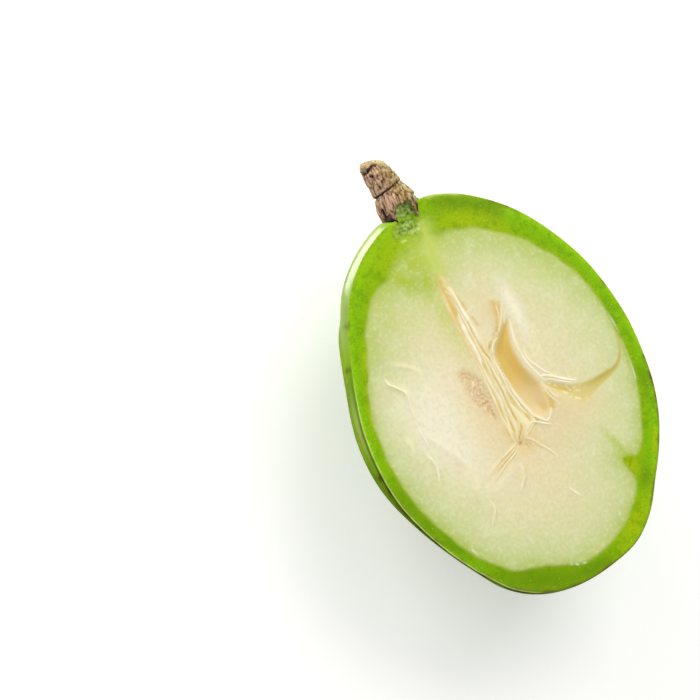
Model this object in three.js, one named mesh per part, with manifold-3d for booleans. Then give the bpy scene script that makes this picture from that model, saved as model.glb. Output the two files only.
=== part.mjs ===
// Half an ambarella (Spondias dulcis), cut lengthwise and lying on its rounded back with the cut face up.
//
// Millimetres. The origin is the middle of the small flat spot that the half rests on, +Z is up, out of the
// cut face, and +Y runs along the fruit towards its stalk.
import * as THREE from 'three';
import { mergeVertices } from 'three/addons/utils/BufferGeometryUtils.js';
import Module from 'manifold-3d';

const wasm = await Module();
wasm.setup();

// --- driving dimensions ---

const CUT_HEIGHT = 26.5; // from the surface it rests on up to the cut face
const FLATTENING = 0.5; // how much of the rounded back is missing where it rests, which leaves a flat spot
const BACK_FULLNESS = 2.1; // exponent of the back's profile: 2 is an ellipse, more is fuller
const GAP = 0.3; // clearance between the stalk and its seat

// The cut edge of the skin, counter-clockwise seen from above, from the stalk's right side.
const CUT_EDGE = [
  [1, 39.3], [-9.5, 36.7], [-20, 28.5], [-27.6, 14], [-30, -3.5], [-25.6, -21.5], [-15.8, -35.8], [-3, -40.4],
  [12, -37.8], [20.6, -29.1], [27.2, -18.3], [30.1, -4.5], [29.1, 8.5], [23.1, 23], [12, 35],
];
const EDGE_STEPS = 72; // facets round the cut edge
const BACK_RINGS = 12; // rings from the cut edge down to the rim of the flat spot

// The stalk's middle line: its root in the fruit, its joint and its broken tip.
const STALK_ROOT = new THREE.Vector3(-4.4, 35.5, CUT_HEIGHT - 3.4);
const STALK_JOINT = new THREE.Vector3(-4.5, 43.1, CUT_HEIGHT - 2);
const STALK_TIP = new THREE.Vector3(-6.3, 49.7, CUT_HEIGHT - 0.5);
const ROOT_RADIUS = 3.7;
const JOINT_RADIUS = 3.1;
const TIP_RADIUS = 2.6;
const JOINT_GROOVE = 0.35; // depth of the ring at the stalk's joint
const STALK_SIDES = 24;
const KNIFE_REACH = 39.7; // how far along Y the knife went through the stalk's root

// The seed chamber and the side pocket that the knife opened: ellipsoids sunk in the cut face.
const CHAMBER = { x: 3.7, y: 0.5, turn: 4, halfWidth: 2.8, halfLength: 8.6, depth: 2.4 };
const SIDE_POCKET = { x: 15.8, y: -6.9, turn: -82, halfWidth: 1.6, halfLength: 8, depth: 1.2 };

// --- helpers between three.js geometry and solids ---

function solidFrom(geometry) {
  const bare = geometry.index ? geometry.toNonIndexed() : geometry.clone();
  bare.deleteAttribute('normal');
  bare.deleteAttribute('uv');
  const merged = mergeVertices(bare, 1e-4);
  return new wasm.Manifold(new wasm.Mesh({
    numProp: 3,
    vertProperties: merged.attributes.position.array,
    triVerts: new Uint32Array(merged.index.array),
  }));
}

function geometryFrom(solid) {
  const mesh = solid.getMesh();
  const geometry = new THREE.BufferGeometry();
  geometry.setAttribute('position', new THREE.BufferAttribute(mesh.vertProperties, 3));
  geometry.setIndex(new THREE.BufferAttribute(mesh.triVerts, 1));
  geometry.computeVertexNormals();
  return geometry;
}

// --- the fruit's body: a flat cut face on top of a rounded back ---

function fruitBody() {
  const corners = CUT_EDGE.map(([x, y]) => new THREE.Vector3(x, y, 0));
  const edge = new THREE.CatmullRomCurve3(corners, true, 'centripetal').getSpacedPoints(EDGE_STEPS);
  edge.pop(); // a closed curve repeats its first point
  const depth = CUT_HEIGHT + FLATTENING;
  const spotAngle = Math.asin((CUT_HEIGHT / depth) ** (BACK_FULLNESS / 2));
  const places = [];
  for (let ring = 0; ring < BACK_RINGS; ring++) {
    const angle = (ring / (BACK_RINGS - 1)) * spotAngle;
    const spread = Math.cos(angle) ** (2 / BACK_FULLNESS);
    const drop = depth * Math.sin(angle) ** (2 / BACK_FULLNESS);
    const height = ring < BACK_RINGS - 1 ? CUT_HEIGHT - drop : 0;
    for (const p of edge) places.push(p.x * spread, p.y * spread, height);
  }
  places.push(0, 0, 0, 0, 0, CUT_HEIGHT); // the middles of the flat spot and of the cut face
  const spot = BACK_RINGS * EDGE_STEPS;
  const faceMiddle = spot + 1;
  const lastRing = spot - EDGE_STEPS;
  const faces = [];
  for (let side = 0; side < EDGE_STEPS; side++) {
    const next = (side + 1) % EDGE_STEPS;
    faces.push(faceMiddle, side, next, spot, lastRing + next, lastRing + side);
    for (let ring = 0; ring < BACK_RINGS - 1; ring++) {
      const upper = ring * EDGE_STEPS;
      const lower = upper + EDGE_STEPS;
      faces.push(upper + side, lower + side, lower + next, upper + side, lower + next, upper + next);
    }
  }
  const geometry = new THREE.BufferGeometry();
  geometry.setAttribute('position', new THREE.Float32BufferAttribute(places, 3));
  geometry.setIndex(faces);
  return solidFrom(geometry);
}

function hollow({ x, y, turn, halfWidth, halfLength, depth }) {
  const bowl = new THREE.SphereGeometry(1, 28, 14)
    .scale(halfWidth, halfLength, depth)
    .rotateZ(THREE.MathUtils.degToRad(turn))
    .translate(x, y, CUT_HEIGHT);
  return solidFrom(bowl);
}

// --- the stalk: two woody segments that meet at a joint ---

// A round piece on the line from one point to the other. The profile holds [share of length, radius] pairs.
function segment(from, to, profile, grow = 0) {
  const along = new THREE.Vector3().subVectors(to, from);
  const length = along.length();
  const outline = profile.map(([share, radius]) => new THREE.Vector2(radius + grow, share * length));
  outline[0].y -= grow;
  outline[outline.length - 1].y += grow;
  const closed = [new THREE.Vector2(0, outline[0].y), ...outline, new THREE.Vector2(0, outline.at(-1).y)];
  const lathe = new THREE.LatheGeometry(closed, STALK_SIDES)
    .applyQuaternion(new THREE.Quaternion().setFromUnitVectors(new THREE.Vector3(0, 1, 0), along.normalize()))
    .translate(from.x, from.y, from.z);
  return solidFrom(lathe);
}

function stalkBody(grow = 0) {
  const groove = JOINT_RADIUS - JOINT_GROOVE;
  const lower = segment(STALK_ROOT, STALK_JOINT, [
    [0, ROOT_RADIUS - 0.5], [0.25, ROOT_RADIUS], [0.6, ROOT_RADIUS - 0.2], [0.93, JOINT_RADIUS], [1, groove],
  ], grow);
  const overlap = new THREE.Vector3().lerpVectors(STALK_JOINT, STALK_TIP, -0.03);
  const upper = segment(overlap, STALK_TIP, [
    [0, groove], [0.1, JOINT_RADIUS - 0.05], [0.55, TIP_RADIUS + 0.15], [0.93, TIP_RADIUS], [1, TIP_RADIUS - 0.5],
  ], grow);
  return lower.add(upper);
}

// The space above the cut face that the knife swept, as far as it went into the stalk's root.
function knifePath(reach) {
  const size = 30;
  const box = new THREE.BoxGeometry(size, size, size)
    .translate(STALK_ROOT.x, reach - size / 2, CUT_HEIGHT + size / 2);
  return solidFrom(box);
}

// --- the object ---

const fruit = new THREE.Mesh(
  geometryFrom(fruitBody().subtract(stalkBody(GAP)).subtract(hollow(CHAMBER)).subtract(hollow(SIDE_POCKET))),
  new THREE.MeshStandardMaterial({ color: 0x8db32e, roughness: 0.4, metalness: 0 }),
);
fruit.name = 'fruit_half';

const stalk = new THREE.Mesh(
  geometryFrom(stalkBody().subtract(knifePath(KNIFE_REACH))),
  new THREE.MeshStandardMaterial({ color: 0x93703f, roughness: 0.9, metalness: 0 }),
);
stalk.name = 'stalk';

const ambarella = new THREE.Group();
ambarella.add(fruit, stalk);

export default ambarella;
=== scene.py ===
import math

import bpy
import numpy as np
from mathutils import Matrix, Vector, noise


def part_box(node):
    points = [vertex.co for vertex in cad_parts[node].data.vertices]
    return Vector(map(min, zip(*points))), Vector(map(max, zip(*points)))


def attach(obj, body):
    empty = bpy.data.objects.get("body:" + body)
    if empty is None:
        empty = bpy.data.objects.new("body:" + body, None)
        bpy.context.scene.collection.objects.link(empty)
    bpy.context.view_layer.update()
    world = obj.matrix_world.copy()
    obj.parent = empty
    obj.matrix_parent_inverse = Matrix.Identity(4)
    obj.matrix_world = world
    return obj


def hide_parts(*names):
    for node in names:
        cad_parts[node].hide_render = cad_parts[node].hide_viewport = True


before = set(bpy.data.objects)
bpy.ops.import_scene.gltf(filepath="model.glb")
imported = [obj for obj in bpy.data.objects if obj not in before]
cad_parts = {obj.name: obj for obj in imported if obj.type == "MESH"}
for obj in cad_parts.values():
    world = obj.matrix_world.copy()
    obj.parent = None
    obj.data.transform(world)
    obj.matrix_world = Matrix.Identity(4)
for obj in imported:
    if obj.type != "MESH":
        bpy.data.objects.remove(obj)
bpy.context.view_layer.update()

# --- the half fruit ---
# Half an ambarella: waxy skin over a firm green rind and pale juicy flesh, grown as one piece. The knife left
# a flat face, in which the bed of the fibres, the seed chamber and a side pocket lie open.

MM = 0.001
FACE_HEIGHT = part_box("fruit_half")[1].z / MM
FACE_MIDDLE = (-1.0, -1.5)  # places on the cut face are measured from here, in millimetres, +Y to the stalk
HEART = (3.0, 0.0)  # the rings of the cut face run round this place, where its detail is finest
BACK_DEPTH = FACE_HEIGHT + 0.5
BACK_FULLNESS = 2.1
SIDES = 420
FACE_RINGS = 156
BACK_RINGS = 60
RING_SPREAD = [(0, 0), (0.3, 0.17), (0.5, 0.34), (0.93, 0.984), (1, 1)]  # share of the rings, of the way out

CUT_EDGE = [  # the skin's edge, round the face from the stalk's right side, over its left
    (2, 40.8), (-1.8, 40.2), (-4.4, 39.1), (-5.8, 38.4), (-7.2, 38.2), (-8.8, 37.7), (-12, 36.1),
    (-16, 33.3), (-19.8, 29.3), (-22.8, 24.3), (-25.4, 17.9), (-27.5, 11.3), (-29, 4.6), (-29.4, -3.5),
    (-28.4, -11.2), (-26, -17.8), (-22.9, -23.7), (-19, -29.4), (-14.6, -34.3), (-8.7, -37.6), (-2, -38.9),
    (6, -38.3), (13, -36.3), (18, -32.4), (21.6, -27.6), (25.3, -22.3), (28.2, -16.8), (30.3, -10.1),
    (31.1, -3), (31.1, 3.6), (30.1, 10), (27.9, 17.5), (24.2, 24.6), (19.2, 31.3), (13, 36.5), (7.5, 39.5),
]
RIND_EDGE = [  # where the green rind ends and the pale flesh begins
    (1, 32.9), (-5, 32.8), (-9, 31), (-12, 28.8), (-15.5, 27.3), (-18.6, 24.1), (-21.2, 19.6), (-23, 15),
    (-25, 10.5), (-26.4, 5.5), (-27.1, 0), (-27, -5), (-26.1, -10), (-24.7, -14.5), (-22.7, -19),
    (-20, -23.7), (-16.8, -27.8), (-13, -31), (-8, -32.5), (-3, -34.3), (1, -35.6), (5, -35.2), (8.4, -34.2),
    (11, -32.9), (14.2, -30.6), (16.5, -28.2), (17.8, -25.8), (17.5, -23.2), (17.3, -21), (18.6, -20.7),
    (20.4, -21.5), (22.2, -19.7), (23.8, -17), (25, -14.5), (26.2, -11.5), (27.2, -7.5), (27.7, -3),
    (27.7, 2), (27.3, 8), (26, 13), (24, 17.5), (21.4, 21.4), (17.5, 25.8), (13, 29.2), (9, 31.6), (5, 32.6),
]


def smooth_line(corners, steps=8, closed=False):
    """Points on a smooth line through the corners."""
    c = np.array(corners, float)
    c = np.vstack([c[-1:], c, c[:2]]) if closed else np.vstack([2 * c[0] - c[1], c, 2 * c[-1] - c[-2]])
    step = np.diff(c, axis=0)
    length = np.linalg.norm(step, axis=1)[:, None]
    before, after = length[:-1], length[1:]
    slope = (step[:-1] / before * after + step[1:] / after * before) / (before + after)
    start, way = c[1:-2, None], step[1:-1, None]
    lead, trail = (slope[:-1] * after[:-1])[:, None], (slope[1:] * after[:-1])[:, None]
    t = np.linspace(0, 1, steps, endpoint=False)[None, :, None]
    line = start + t * lead + t**2 * (3 * way - 2 * lead - trail) + t**3 * (lead + trail - 2 * way)
    line = line.reshape(-1, c.shape[1])
    return line if closed else np.vstack([line, c[-2]])


def nearest(line, x, y, reach):
    """How far each place is from the line, and how far along the line its nearest point lies, from 0 to 1."""
    distance = np.full(x.shape, 1e3)
    share = np.zeros(x.shape)
    low, high = line.min(0) - reach, line.max(0) + reach
    near = (x > low[0]) & (x < high[0]) & (y > low[1]) & (y < high[1])
    px, py = x[near], y[near]
    best, at = np.full(px.shape, 1e3), np.zeros(px.shape)
    for i, (start, step) in enumerate(zip(line[:-1], np.diff(line, axis=0))):
        t = ((px - start[0]) * step[0] + (py - start[1]) * step[1]) / max(step @ step, 1e-9)
        t = np.clip(t, 0, 1)
        d = np.hypot(px - start[0] - t * step[0], py - start[1] - t * step[1])
        closer = d < best
        best[closer] = d[closer]
        at[closer] = (i + t[closer]) / (len(line) - 1)
    distance[near], share[near] = best, at
    return distance, share


def depth_inside(corners, x, y, reach=6.0):
    """How deep inside the closed outline through the corners each place lies; negative outside it."""
    outline = smooth_line(corners, 8, closed=True)
    closed = np.vstack([outline, outline[:1]])
    distance, _ = nearest(closed, x, y, reach)
    crossings = np.zeros(x.shape, int)
    for (x0, y0), (x1, y1) in zip(closed[:-1], closed[1:]):
        if y0 != y1:
            crossings += ((y0 > y) != (y1 > y)) & (x < (x1 - x0) * (y - y0) / (y1 - y0) + x0)
    return np.where(crossings % 2 == 1, distance, -distance)


def rise(value, low, high):
    """0 up to low, 1 from high on, and a smooth rise between."""
    t = np.clip((value - low) / (high - low), 0, 1)
    return t * t * (3 - 2 * t)


def lumps(x, y, z, size, seed=0.0):
    """Smooth random heights, about -1 to 1, whose lumps are about that size."""
    x, y, z = np.broadcast_arrays(x / size + seed, y / size + 2.3 * seed, z / size - 1.7 * seed)
    return np.array([noise.noise(place) for place in zip(x.tolist(), y.tolist(), z.tolist())])


def hill(x, y, middle, radii, turn=0.0):
    """1 at the middle, falling off smoothly over the radii."""
    a = math.radians(turn)
    dx, dy = x - middle[0], y - middle[1]
    along, across = dx * math.cos(a) + dy * math.sin(a), dy * math.cos(a) - dx * math.sin(a)
    return np.exp(-((along / radii[0]) ** 2) - (across / radii[1]) ** 2)


def streak(x, y, corners, half_width, fade=0.2):
    """1 on the line through the corners, falling off over the half width and towards its two ends."""
    distance, share = nearest(smooth_line(corners), x, y, 3 * half_width + 0.5)
    return np.exp(-((distance / half_width) ** 2)) * rise(share, 0, fade) * (1 - rise(share, 1 - fade, 1))


# What the knife opened in the middle of the face.
CHAMBER = [
    (1.9, 8), (1.7, 4.5), (2, 1), (2.5, -1.5), (3.2, -4), (4.3, -6), (5.6, -7), (6.9, -6.7), (7.7, -5.3),
    (7.9, -3), (7.9, -1), (7.2, 0.8), (6.5, 2.6), (6, 5), (5.9, 8), (6.6, 10.6), (7.3, 12.6), (5.9, 12.2),
    (4.6, 11), (3.2, 9.8),
]
CHAMBER_DEPTH = 0.5
SIDE_POCKET = [
    (9.5, -1.6), (12, -2.6), (14, -3.7), (16, -4.2), (18, -4.4), (20, -4.3), (22, -4.1), (24, -3.8),
    (25.3, -2.9), (26.4, -1.4), (27, 0.4), (27.4, 3), (27.6, 0.6), (27, -1.4), (26, -3.2), (24.6, -4.5),
    (22.6, -5.4), (20.4, -6.1), (18, -6.9), (16.2, -7.7), (14.6, -8), (13.2, -6.9), (12, -5.4), (10.4, -3.8),
]
SIDE_POCKET_DEPTH = 0.12
LEFT_POCKET = [
    (-6.6, 7.2), (-6.8, 4), (-6.3, 1), (-5.4, -1.4), (-4.2, -3.4), (-3.1, -4.4), (-2.7, -2.4), (-2.6, 0.5),
    (-2.8, 3), (-3.7, 5.4), (-5.2, 6.9),
]
LEFT_POCKET_DEPTH = 0.12
BED_DEPTH = 0.2  # how far the face sinks along the strands
# The strands rise out of a fan of finer fibres. Its sides: a height on the face, and where they are along X.
FAN_LEFT = [
    (-10, -1.9), (-8, -2.5), (-4, -2.7), (0, -2.6), (8, -2.6), (12, -2.9), (20, -3.1), (24, -2.8), (28, -2.3),
]
FAN_RIGHT = [
    (-10, 0.1), (-8.8, 1.8), (-7.4, 4.6), (-5, 3.9), (-3, 3), (0, 2.1), (4, 1.7), (7, 1.5), (9, 0.9),
    (12, 0.6), (16, 0.5), (20, -0.1), (24, -0.7), (28, -1.2),
]
# Folds of the flesh. Each has a strand or a pale vein on its crest, so two of the tables below hold it.
LEFT_FOLD = [
    (-20.9, 12.2), (-20.7, 10.5), (-19.5, 9.2), (-18.2, 7.5), (-18.3, 5.8), (-18.6, 3.6), (-18.2, 1.1),
]
LOWER_LEFT_FOLD = [(-19.8, -4.4), (-18.8, -6.2), (-18.8, -8.3), (-19.6, -10.3)]
LOWEST_FOLD = [(-11.6, -17.2), (-11.5, -19.3), (-12.6, -20.8), (-13.7, -21.9)]
HANGING_FOLD = [(-3, -13.2), (-2.9, -14.6), (-3.1, -15.7), (-4.2, -17.3), (-5.5, -18.6)]
UPPER_FOLD = [(-18.6, 13.8), (-16.4, 12.5), (-14.8, 11.3), (-13, 9.6)]
OUTER_FOLD = [(-22.3, 0.4), (-21.6, -1.3), (-21.5, -2.7), (-22.4, -3.7)]
# Each strand is a bundle of fibres: its course, its half width, and how golden it is.
STRANDS = [
    (
        [(-1.2, 23.5), (-0.95, 22), (-0.75, 20), (-0.55, 18), (-0.2, 16), (0.1, 14), (0.15, 12), (0, 10)],
        0.5, 0,
    ),
    ([(-1.6, 17.6), (-1.75, 16), (-1.8, 14), (-1.65, 12), (-1.45, 10), (-1.4, 8), (-1.6, 6.4)], 0.55, 0),
    (
        [(-1.5, 21), (-1.2, 18), (-0.95, 16), (-0.85, 13.5), (-0.7, 11.5), (-0.6, 9), (-0.55, 6), (-0.5, 3)],
        0.24, 0.2,
    ),
    ([(-2.9, 23), (-3, 20), (-3, 17), (-2.8, 14), (-2.6, 11), (-2.4, 8), (-2.3, 5)], 0.26, 0.6),
    ([(-2.4, 9), (-2.2, 6), (-2.25, 2), (-2.2, -1), (-2.5, -4), (-2.4, -7)], 0.28, 0.4),
    ([(-1.6, 6.6), (-1.6, 4), (-1.3, 1), (-1.0, -0.6), (-1.2, -2.4), (-1.5, -5), (-1.9, -8.6)], 0.4, 0.25),
    ([(-0.5, 3.4), (-0.35, 0.4), (-0.5, -1.6), (-0.45, -4), (-0.5, -6.5), (-0.8, -9)], 0.32, 0.35),
    ([(0.15, 8), (0.2, 5.6), (0.3, 3), (0.5, 0.6), (0.45, -2), (0.7, -4.6), (0.2, -8)], 0.28, 0.3),
    ([(0.9, 8.8), (0.75, 6), (0.75, 3.4), (0.9, 1), (1.2, -1)], 0.24, 0.4),
    ([(1.3, 8.6), (1.3, 5), (1.4, 2.2), (1.4, 0.4), (1.8, -2), (2.3, -4.2), (3, -6)], 0.36, 0.2),
    (
        [(1.75, 3.8), (1.9, 1), (2.2, -1), (2.8, -3), (3.4, -4.8), (4, -6.1), (5, -7.4), (6.1, -8.1),
         (7.3, -7.6)],
        0.4, 0.25,
    ),
    ([(1.1, -8.3), (2.1, -7.8), (3, -7.15), (4, -7.6), (5, -8.25), (6, -8.9), (6.9, -9.4)], 0.24, 0.2),
    ([(5.6, -8.2), (6.5, -8), (7.3, -7.3), (8, -6)], 0.24, 0.1),
    ([(1.6, 7.6), (2, 8.9), (2.8, 9.8), (3.9, 10.4)], 0.24, 0.1),
    ([(4.3, 11.2), (5, 11.8), (5.8, 12.8), (6.7, 14.2), (7.3, 15.4), (7.9, 16.9)], 0.24, 0.3),
    ([(7.8, 12.8), (7.1, 10), (6.8, 7.4), (6.9, 5), (7.4, 3), (8, 1.3), (8.7, -0.1), (9.3, -1.3)], 0.4, 0.1),
    ([(7.7, 7), (7.6, 4.8), (8.2, 3.1), (9.1, 1.7), (10, 0.5), (11.2, -0.6), (12.4, -1.7)], 0.26, 0.2),
    ([(8.3, 0), (9.4, 0), (10.5, -0.6), (12, -1.6), (14, -2.8), (15.8, -3.7)], 0.42, 0),
    ([(8.8, -0.9), (10, -1.1), (11.4, -1.9), (13, -2.9), (14.6, -3.7)], 0.26, 0.2),
    ([(8.6, -1.6), (9, -3), (9.6, -4.3), (10.4, -5.4)], 0.3, 0.3),
    ([(8.2, -2.4), (8.7, -4), (9.4, -5.4), (9.8, -6.8)], 0.24, 0.4),
    ([(-1.5, -9.6), (-2.6, -10), (-4, -10.5), (-5.6, -11.1), (-7.4, -11.9), (-9.4, -13)], 0.24, 0.5),
    ([(-1.6, -9.9), (-3, -10.7), (-4.6, -11.4), (-6, -12), (-7.6, -12.8)], 0.18, 0.6),
    ([(-1.5, -10.3), (-2.8, -11.2), (-4.4, -12), (-6.2, -12.8), (-8.2, -13.9), (-10.4, -15.2)], 0.24, 0.45),
    ([(0.2, -9.2), (1.3, -10), (2.2, -11.2), (2.9, -12.2)], 0.22, 0.4),
    ([(2.4, -11.6), (3.3, -12.6), (4.4, -14.2), (5.1, -15.4)], 0.18, 0.3),
    (HANGING_FOLD, 0.22, 0.3),
    ([(4.3, -21.4), (5, -22.6), (6, -24)], 0.26, 0),
    (LEFT_FOLD, 0.24, 0),
    ([(-18.7, 0.4), (-18.6, -1.4), (-18.5, -3.3)], 0.18, 0),
    (LOWER_LEFT_FOLD, 0.2, 0),
    (LOWEST_FOLD, 0.16, 0.1),
    ([(-0.2, 17.2), (0.6, 17.1), (1.3, 17.4), (2.2, 17.8)], 0.16, 0.2),
    ([(4.9, 12), (5.6, 13.2), (6.1, 14.6), (6.3, 16.2)], 0.15, 0.5),
    ([(6.3, 12), (6.9, 13.4), (7.7, 14.8)], 0.15, 0.2),
    ([(0.7, 8.6), (1.2, 9.5), (2, 10.2), (2.9, 10.6)], 0.24, 0.5),
]
VEINS = [  # faint pale bands in the flesh: course, half width
    ([(-1.6, -9.4), (-4, -10.2), (-7, -11.3), (-10.4, -13.2)], 0.3),
    ([(-1.8, -10.9), (-4.4, -12.5), (-7.4, -14.1), (-11.4, -16)], 0.35),
    ([(-5, -11), (-7.4, -12.6), (-9.8, -14.2), (-12, -15.4)], 0.3),
    (UPPER_FOLD, 0.4),
    ([(-14.2, 7.4), (-12.5, 5.1), (-11.3, 3)], 0.35),
    (OUTER_FOLD, 0.35),
    ([(-3.5, -12.5), (-5.6, -13.8), (-8, -15), (-10.6, -16.4)], 0.6),
    ([(9.6, 11), (9.8, 13.5), (9.6, 16), (9.4, 18.6)], 0.6),
    ([(-14, -9), (-12.4, -12), (-12.6, -14.6)], 0.6),
]
GAPS = [  # golden flesh between the strands: course, half width
    ([(-2.2, 27), (-2.3, 23), (-2.45, 19.5), (-2.4, 16), (-2.3, 13), (-2.1, 10), (-1.9, 7)], 0.75),
    ([(-0.9, 14), (-0.8, 11), (-0.7, 8), (-0.7, 5)], 0.3),
    ([(-1.9, 5), (-1.7, 1), (-1.9, -3), (-2.1, -7)], 0.3),
    ([(-2.6, -4.4), (-2.3, -6.4), (-2.3, -8.2)], 0.35),
    ([(-1.4, -9.5), (-3.7, -10.9), (-5.7, -12.1), (-7.8, -13.7)], 0.4),
    ([(0.1, 6), (0.1, 2), (0.2, -2), (-0.1, -7)], 0.3),
    ([(1, 6), (1, 3), (1.5, -0.5), (2.2, -3.5), (2.9, -5.6)], 0.28),
    ([(4.3, 11), (5.2, 12.8), (6.2, 14.6), (7.6, 17.2)], 0.6),
    ([(8.6, -1.2), (10, -2.6), (12, -4), (14, -5)], 0.3),
    ([(0.6, 8.6), (1.6, 9.3), (2.8, 10.2), (4, 10.9)], 0.35),
    ([(8.4, -2.5), (8.6, -4.5), (8, -6.8)], 0.7),
    ([(0.5, 16.2), (0.9, 15), (1.2, 13.6)], 0.3),
    ([(0.1, 19.5), (0.2, 18.2), (0.3, 17.4)], 0.2),
    ([(5.4, 12.4), (5.8, 14), (6, 16), (5.9, 17.6)], 0.7),
]
WRINKLES = [  # soft folds of the flesh: course, half width and height
    (LEFT_FOLD, 0.6, 0.12),
    (UPPER_FOLD, 0.5, 0.1),
    (OUTER_FOLD, 0.5, 0.08),
    (HANGING_FOLD, 0.5, 0.1),
    ([(-19.8, 0.7), (-16.5, -3.5), (-13.6, -8.5), (-11.5, -12.5)], 0.7, 0.1),
    (LOWER_LEFT_FOLD, 0.6, 0.1),
    ([(-14, -13), (-13.4, -15.4), (-14.2, -17.6)], 0.6, 0.08),
    (LOWEST_FOLD, 0.6, 0.06),
    ([(-9, -20.6), (-6.4, -22.6), (-5.6, -25)], 0.6, 0.05),
]
# Where the flesh has shrunk a hair below the rind, a step runs along it, and a painted highlight stands for
# the wet light on the step.
STEPS = [
    ([(27.4, 8), (27.8, 5), (27.9, 2), (27.8, -2), (27.4, -6.3), (26.9, -9)], 0.08),
    ([(-19.6, -23.8), (-18.6, -24.9), (-17.4, -26.1)], 0.08),
    ([(-3, -34.4), (-0.4, -35.4), (2, -35.8), (4.4, -35.5)], 0.08),
]


def traced(lines, x, y, widen=1.0, fade=0.12):
    """How near each place is to one of the lines, from 0 to 1."""
    near = np.zeros(x.shape)
    for corners, half_width, *_ in lines:
        near = np.maximum(near, streak(x, y, corners, widen * half_width, fade))
    return near


def fibre_fan(x, y):
    """1 inside the fan of fibres and 0 outside, and the fibres' ridges there, about -1 to 1."""
    left, right = (np.interp(y, *zip(*side)) for side in (FAN_LEFT, FAN_RIGHT))
    across = (x - left) / (right - left)
    inside = rise(across, -0.08, 0.1) * (1 - rise(across, 0.92, 1.08))
    inside = inside * rise(y, -10, -8.6) * (1 - rise(y, 21, 28))
    ridges = lumps(7 * across, 0.12 * y, 0, 1.0, 41.0) + 0.7 * lumps(15 * across, 0.2 * y, 0, 1.0, 42.0)
    return inside, 1.4 * ridges


def face_relief(x, y):
    """Height of the cut face above the knife's plane, in millimetres, at places on the face."""
    chamber = depth_inside(CHAMBER, x, y)
    pocket = depth_inside(SIDE_POCKET, x, y)
    left = depth_inside(LEFT_POCKET, x, y)
    inside, ridges = fibre_fan(x, y)
    torn = hill(x, y, (-3.2, 37), (3, 2))
    height = 0.1 * lumps(x, y, 0, 9.0, 1.0) + 0.03 * lumps(x, y, 0, 3.2, 2.0)
    height += 0.008 * lumps(x, y, 0, 0.9, 3.0)
    height -= CHAMBER_DEPTH * rise(chamber, -0.5, 2.4)
    height -= SIDE_POCKET_DEPTH * rise(pocket, -0.3, 1.2)
    height -= (LEFT_POCKET_DEPTH + 0.08 * lumps(x, y, 0, 0.4, 4.0)) * rise(left, -0.8, 1.2)
    height -= BED_DEPTH * hill(x, y, (-0.3, 4), (2.6, 17))
    height -= BED_DEPTH * hill(x, y, (-1, -9.8), (1.6, 1.2))
    height += 0.07 * inside * ridges + 0.04 * traced(STRANDS, x, y, 1.5)
    for corners, half_width, top in WRINKLES:
        height += top * streak(x, y, corners, half_width, 0.3)
    height += 0.07 * traced(STEPS, x, y)
    height -= torn * (0.1 + 0.25 * lumps(x, y, 0, 0.6, 5.0))
    return height


SHOULDER_SWELL = 1.4  # of the skin left of the stalk, which curls out past the cut edge
FLANK_SWELL = 0.3  # of the skin all round
LEFT_TUCK = 1.3  # how far the skin draws in below the lower left edge


def skin_swell(x, y, drop):
    """How far the skin stands out beyond the cut edge, that deep below it."""
    shoulder = SHOULDER_SWELL * rise(y, 19, 31) * (1 - rise(x, -8, -5.2))
    chamfer = drop / 1.3
    lip = shoulder * chamfer / (1 + chamfer**8) ** 0.125 * np.exp(-((drop / 2.8) ** 3))
    flank = FLANK_SWELL + 0.5 * hill(x, y, (-25, 22), (8, 7))
    bulge = flank * (1 - np.exp(-drop / 1.2)) * np.exp(-((drop / 12) ** 2))
    lower_left = LEFT_TUCK * rise(-y, 3, 16) * rise(-x, 10, 24)
    tuck = lower_left * (1 - np.exp(-drop / 4)) * np.exp(-((drop / 20) ** 2))
    return lip + bulge - tuck


def deselect_all():
    bpy.ops.object.select_all(action="DESELECT")


def ball(name, sides, rings):
    """A ball for a shape function to turn into a piece."""
    deselect_all()
    bpy.ops.mesh.primitive_uv_sphere_add(segments=sides, ring_count=rings, radius=1)
    piece = bpy.context.object
    piece.name = piece.data.name = name
    bpy.ops.object.shade_smooth()
    return piece


def places_of(mesh):
    """Where the mesh's vertices are, in a row each."""
    places = np.zeros(len(mesh.vertices) * 3)
    mesh.vertices.foreach_get("co", places)
    return places.reshape(-1, 3)


def to_part(x, y, z):
    """Places on the part, in metres, from places on the cut face, in millimetres."""
    return np.stack([x + FACE_MIDDLE[0], y + FACE_MIDDLE[1], z + FACE_HEIGHT], 1) * MM


def put(mesh, places):
    """Moves the mesh's vertices to the places."""
    mesh.vertices.foreach_set("co", places.ravel())
    mesh.update()


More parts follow.
